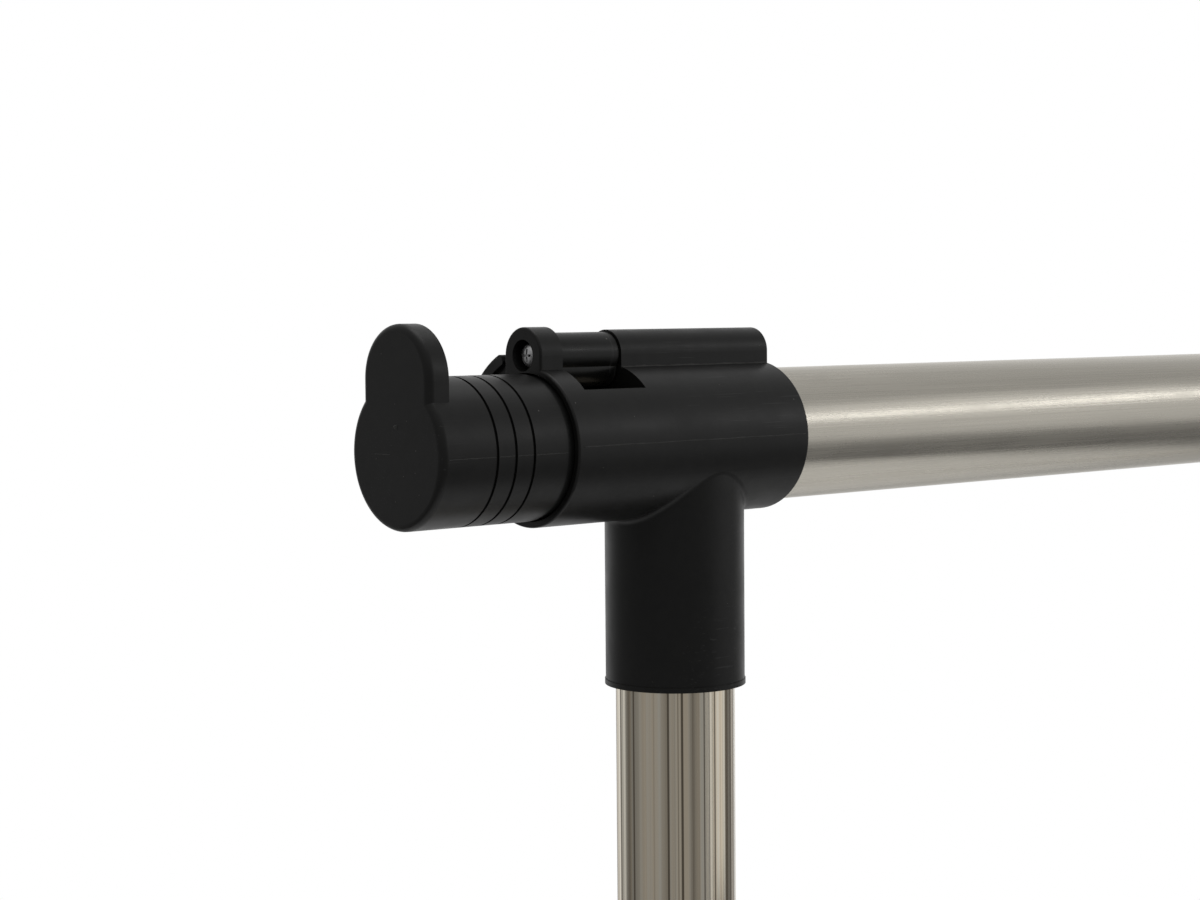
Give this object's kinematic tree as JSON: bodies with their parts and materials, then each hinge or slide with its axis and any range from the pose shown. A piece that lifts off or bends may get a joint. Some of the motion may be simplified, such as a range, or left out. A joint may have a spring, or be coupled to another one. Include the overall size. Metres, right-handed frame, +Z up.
{
  "type": "valet stand",
  "caption": "Height-adjustable rolling clothes rail on two telescopic posts, with pull-out end arms held by cam levers.",
  "frame": {"origin": "on the floor under the middle of the stand", "axes": "+Z up, +X along the rail to the right, -Y towards the user"},
  "size_m": [0.96, 0.446, 1.4477],
  "materials": {
    "satin_tube": "satin brushed stainless tube",
    "polished_tube": "polished stainless tube with fine drawing lines",
    "fastener_steel": "bright zinc-plated steel",
    "black_plastic": "black moulded plastic, low sheen",
    "glide_plastic": "natural nylon",
    "wheel_plastic": "hard black castor wheel"
  },
  "bodies": {
    "base": {"left_foot_fitting": "black_plastic", "right_foot_fitting": "black_plastic", "left_foot_tube": "satin_tube", "right_foot_tube": "satin_tube", "left_lower_post": "satin_tube", "right_lower_post": "satin_tube", "left_height_clamp": "black_plastic", "right_height_clamp": "black_plastic", "front_left_end_fitting": "black_plastic", "front_right_end_fitting": "black_plastic", "back_left_end_fitting": "black_plastic", "back_right_end_fitting": "black_plastic", "cross_tube": "polished_tube", "height_hinge_screws": "fastener_steel", "foot_fitting_screws": "fastener_steel", "end_fitting_screws": "fastener_steel", "castor_stems": "fastener_steel"},
    "top": {"rail_tube": "satin_tube", "tee_screws": "fastener_steel", "tee_hinge_screws": "fastener_steel", "upper_post_glides": "glide_plastic", "left_tee_fitting": "black_plastic", "right_tee_fitting": "black_plastic", "left_upper_post": "polished_tube", "right_upper_post": "polished_tube"},
    "left_arm": {"left_arm_cap": "black_plastic", "left_arm_tube": "polished_tube", "left_arm_glide": "glide_plastic"},
    "left_tee_lever": {"left_tee_lever": "black_plastic"},
    "left_height_lever": {"left_height_lever": "black_plastic"},
    "right_arm": {"right_arm_cap": "black_plastic", "right_arm_tube": "polished_tube", "right_arm_glide": "glide_plastic"},
    "right_tee_lever": {"right_tee_lever": "black_plastic"},
    "right_height_lever": {"right_height_lever": "black_plastic"},
    "front_left_castor": {"front_left_castor_frame": "black_plastic", "front_left_castor_axle": "fastener_steel"},
    "front_left_castor_wheels": {"front_left_castor_wheels": "wheel_plastic"},
    "front_right_castor": {"front_right_castor_frame": "black_plastic", "front_right_castor_axle": "fastener_steel"},
    "front_right_castor_wheels": {"front_right_castor_wheels": "wheel_plastic"},
    "back_left_castor": {"back_left_castor_frame": "black_plastic", "back_left_castor_axle": "fastener_steel"},
    "back_left_castor_wheels": {"back_left_castor_wheels": "wheel_plastic"},
    "back_right_castor": {"back_right_castor_frame": "black_plastic", "back_right_castor_axle": "fastener_steel"},
    "back_right_castor_wheels": {"back_right_castor_wheels": "wheel_plastic"},
    "front_left_brake_pedal": {"front_left_brake_pedal": "black_plastic"},
    "front_right_brake_pedal": {"front_right_brake_pedal": "black_plastic"}
  },
  "joints": [
    {"name": "height_slide", "type": "slide", "parent": "base", "child": "top", "axis": [0, 0, 1], "range_m": [-0.38, 0.15]},
    {"name": "left_arm_slide", "type": "slide", "parent": "top", "child": "left_arm", "axis": [-1, 0, 0], "range_m": [0, 0.25]},
    {"name": "left_tee_lever_hinge", "type": "hinge", "parent": "top", "child": "left_tee_lever", "pos_m": [-0.429, 0.0012, 1.4403], "axis": [1, 0, 0], "range_deg": [0, 100]},
    {"name": "left_height_lever_hinge", "type": "hinge", "parent": "base", "child": "left_height_lever", "pos_m": [-0.4203, -0.0012, 0.781], "axis": [0, 0, -1], "range_deg": [0, 100]},
    {"name": "front_left_pedal_hinge", "type": "hinge", "parent": "front_left_castor", "child": "front_left_brake_pedal", "pos_m": [-0.3525, -0.203, 0.033], "axis": [0, 1, 0], "range_deg": [0, 24]},
    {"name": "right_arm_slide", "type": "slide", "parent": "top", "child": "right_arm", "axis": [1, 0, 0], "range_m": [0, 0.25]},
    {"name": "right_tee_lever_hinge", "type": "hinge", "parent": "top", "child": "right_tee_lever", "pos_m": [0.429, 0.0012, 1.4403], "axis": [1, 0, 0], "range_deg": [0, 100]},
    {"name": "right_height_lever_hinge", "type": "hinge", "parent": "base", "child": "right_height_lever", "pos_m": [0.4203, -0.0012, 0.781], "axis": [0, 0, 1], "range_deg": [0, 100]},
    {"name": "front_right_pedal_hinge", "type": "hinge", "parent": "front_right_castor", "child": "front_right_brake_pedal", "pos_m": [0.4475, -0.203, 0.033], "axis": [0, 1, 0], "range_deg": [0, 24]},
    {"name": "front_left_castor_swivel", "type": "hinge", "parent": "base", "child": "front_left_castor", "pos_m": [-0.4, -0.203, 0.045], "axis": [0, 0, 1], "continuous": true},
    {"name": "front_left_castor_roll", "type": "hinge", "parent": "front_left_castor", "child": "front_left_castor_wheels", "pos_m": [-0.384, -0.203, 0.025], "axis": [0, 1, 0], "continuous": true},
    {"name": "front_right_castor_swivel", "type": "hinge", "parent": "base", "child": "front_right_castor", "pos_m": [0.4, -0.203, 0.045], "axis": [0, 0, 1], "continuous": true},
    {"name": "front_right_castor_roll", "type": "hinge", "parent": "front_right_castor", "child": "front_right_castor_wheels", "pos_m": [0.416, -0.203, 0.025], "axis": [0, 1, 0], "continuous": true},
    {"name": "back_left_castor_swivel", "type": "hinge", "parent": "base", "child": "back_left_castor", "pos_m": [-0.4, 0.203, 0.045], "axis": [0, 0, 1], "continuous": true},
    {"name": "back_left_castor_roll", "type": "hinge", "parent": "back_left_castor", "child": "back_left_castor_wheels", "pos_m": [-0.384, 0.203, 0.025], "axis": [0, 1, 0], "continuous": true},
    {"name": "back_right_castor_swivel", "type": "hinge", "parent": "base", "child": "back_right_castor", "pos_m": [0.4, 0.203, 0.045], "axis": [0, 0, 1], "continuous": true},
    {"name": "back_right_castor_roll", "type": "hinge", "parent": "back_right_castor", "child": "back_right_castor_wheels", "pos_m": [0.416, 0.203, 0.025], "axis": [0, 1, 0], "continuous": true}
  ]
}
